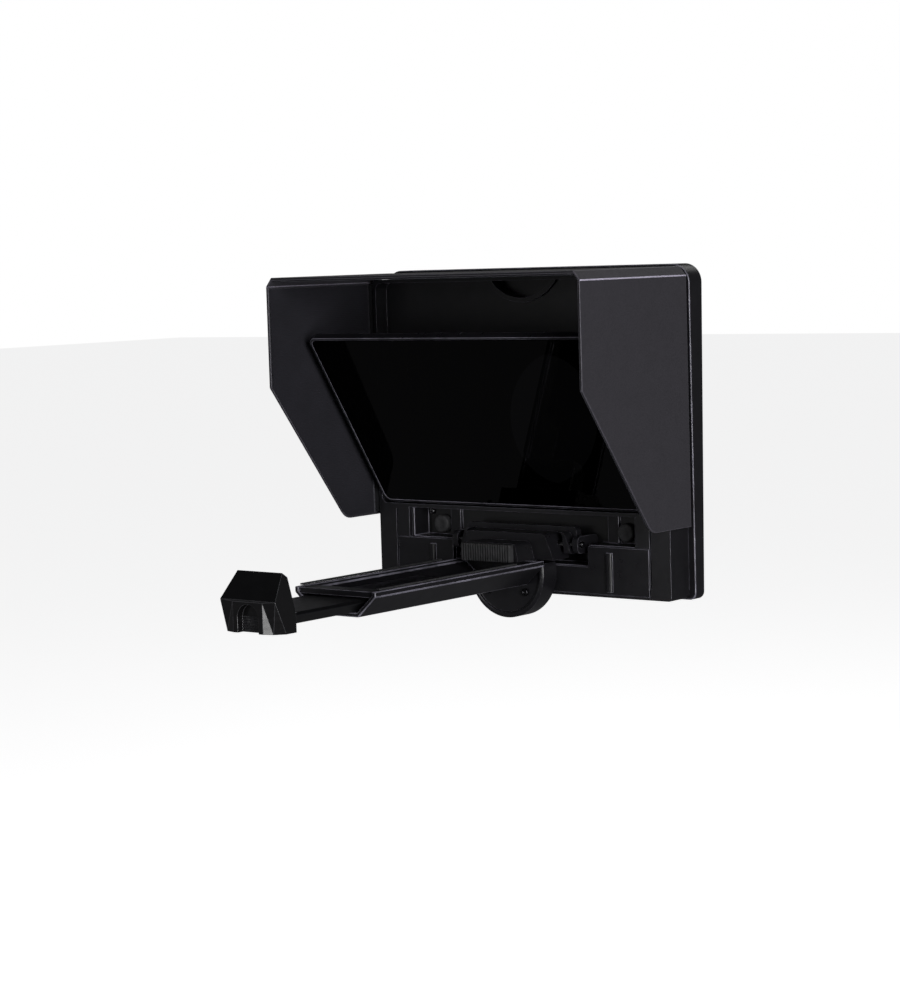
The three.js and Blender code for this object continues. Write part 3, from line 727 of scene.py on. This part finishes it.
def lining(node, rows, place):
    """A ribbed sheet glued to a board. rows are (start, end, level), and place turns a run, a level and a
    height off the board into a point."""
    mesh = bmesh.new()
    loops, area = [], 0.0
    for index, (start, end, level) in enumerate(rows):
        lift = 0.5 + 0.5 * math.cos(2 * math.pi * index / RIB_STEPS)
        height = CLOTH if index in (0, len(rows) - 1) else CLOTH + RIB_DEPTH * lift
        runs = [start + (end - start) * step / LINING_COLUMNS for step in range(LINING_COLUMNS + 1)]
        front = [place(run, level, CLOTH if run in (start, end) else height) for run in runs]
        loops.append(front + [place(end, level, 0), place(start, level, 0)])
        if index:
            area += (end - start) * (level - rows[index - 1][2])
    skin(mesh, loops)
    piece = settle(f"{node}_cloth", mesh, node)
    length = rows[-1][2] - rows[0][2]
    width = max(end - start for start, end, _ in rows)
    area = min(area, width * length)


def levels(low, high):
    count = round((high - low) / RIB_PITCH * RIB_STEPS)
    return [low + (high - low) * index / count for index in range(count + 1)]


def side_lining(side, sign):
    """Cut to the CAD lining's outline, whose front edge slopes away below."""
    node = f"hood_lining_{side}"
    low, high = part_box(node)
    glued = sign * max(abs(low.x), abs(high.x))
    corners = {(round(v.co.z, 7), round(v.co.y, 7)) for v in frame["nodes"][node].data.vertices}
    front_edge = sorted(corner for corner in corners if corner[1] < high.y - 1 * MM)

    def front_at(z):
        for (z0, y0), (z1, y1) in zip(front_edge, front_edge[1:]):
            if z <= z1 and z1 > z0:
                return y0 + (y1 - y0) * (max(z, z0) - z0) / (z1 - z0)
        return front_edge[-1][1]

    rows = [(front_at(z), high.y, z) for z in levels(low.z, high.z)]
    lining(node, rows, lambda y, z, height: Vector((glued - sign * height, y, z)))


def top_lining():
    low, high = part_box("hood_top_lining")
    rows = [(low.x, high.x, y) for y in levels(low.y, high.y)]
    lining("hood_top_lining", rows, lambda x, y, height: Vector((x, y, high.z - height)))


def hood_cover():
    """The top board and its two sloping shoulders under one unbroken cover."""
    top_low, top_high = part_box("hood_top")
    side_low, side_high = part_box("hood_corner_right")
    board = top_high.z - top_low.z
    half = top_high.x
    outer = side_high.x
    outside = [(outer, side_low.z), (half, top_high.z)]
    inside = [(half, top_low.z), (outer - board, side_low.z)]
    right = outside + [(half * share, top_high.z) for share in (0.5, 0)]
    profile = right + [(-x, z) for x, z in reversed(right[:-1])]
    profile += [(-x, z) for x, z in reversed(inside)] + inside
    mesh = bmesh.new()
    skin(mesh, [[Vector((x, y, z)) for x, z in profile] for y in (top_low.y, top_high.y)])
    nodes = ["hood_top", "hood_corner_left", "hood_corner_right"]
    # The cover's front-facing edge faces take the near-black felt finish: painted shade.
    paint(settle("hood_cover", mesh, nodes, bevel=(EDGE_ROLL, 5)), "felt")


def top_seal():
    """Felt strip under the back of the top board, which fills the gap over the front frame."""
    board_low, board_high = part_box("hood_top")
    frame_low, frame_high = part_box("front_frame")
    bottom, top = frame_high.z + SEAL_CLEAR, board_low.z - 0.05 * MM
    front, back = frame_low.y + SEAL_INSET * 1.5, board_high.y - SEAL_INSET
    outline = [(front, bottom), (back, bottom), (back, top), (front, top)]
    half = frame_high.x - SEAL_INSET
    mesh = bmesh.new()
    skin(mesh, [[Vector((half * share, y, z)) for y, z in outline] for share in (-1, -0.5, 0, 0.5, 1)])
    settle("hood_top_seal", mesh, "hood_top", finish="felt", bevel=(0.4 * MM, 4))


def crease_strip(side, sign):
    """Half-round fold of the covering over the crease between the shoulder and the side board, in a much
    lighter leatherette: a painted highlight along the crease.
    """
    low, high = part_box(f"hood_side_{side}")
    x = sign * max(abs(low.x), abs(high.x))
    crease = high.z + 0.15 * MM
    reach, proud, sunk = 0.4 * MM, 0.22 * MM, 0.4 * MM
    arc = 10
    profile = []
    for index in range(arc + 1):
        turn = math.pi * index / arc
        profile.append((x + sign * proud * math.sin(turn), crease + reach * math.cos(turn)))
    profile += [(x - sign * sunk, crease - reach * 0.9), (x - sign * sunk, crease + reach * 0.9)]
    steps = 24
    loops = []
    for index in range(steps + 1):
        y = low.y + 0.4 * MM + (high.y - low.y - 0.8 * MM) * index / steps
        loops.append([Vector((px, y, pz)) for px, pz in profile])
    mesh = bmesh.new()
    skin(mesh, loops)
    # The strip's much lighter finish is a painted highlight.
    strip = settle(f"hood_crease_{side}", mesh, f"hood_side_{side}", finish="creased_board", rides=False)
    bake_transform(strip)


make_camera()
make_studio()
make_finishes()
make_housing()
make_arm()
make_clamp()
make_glass()
make_hood()
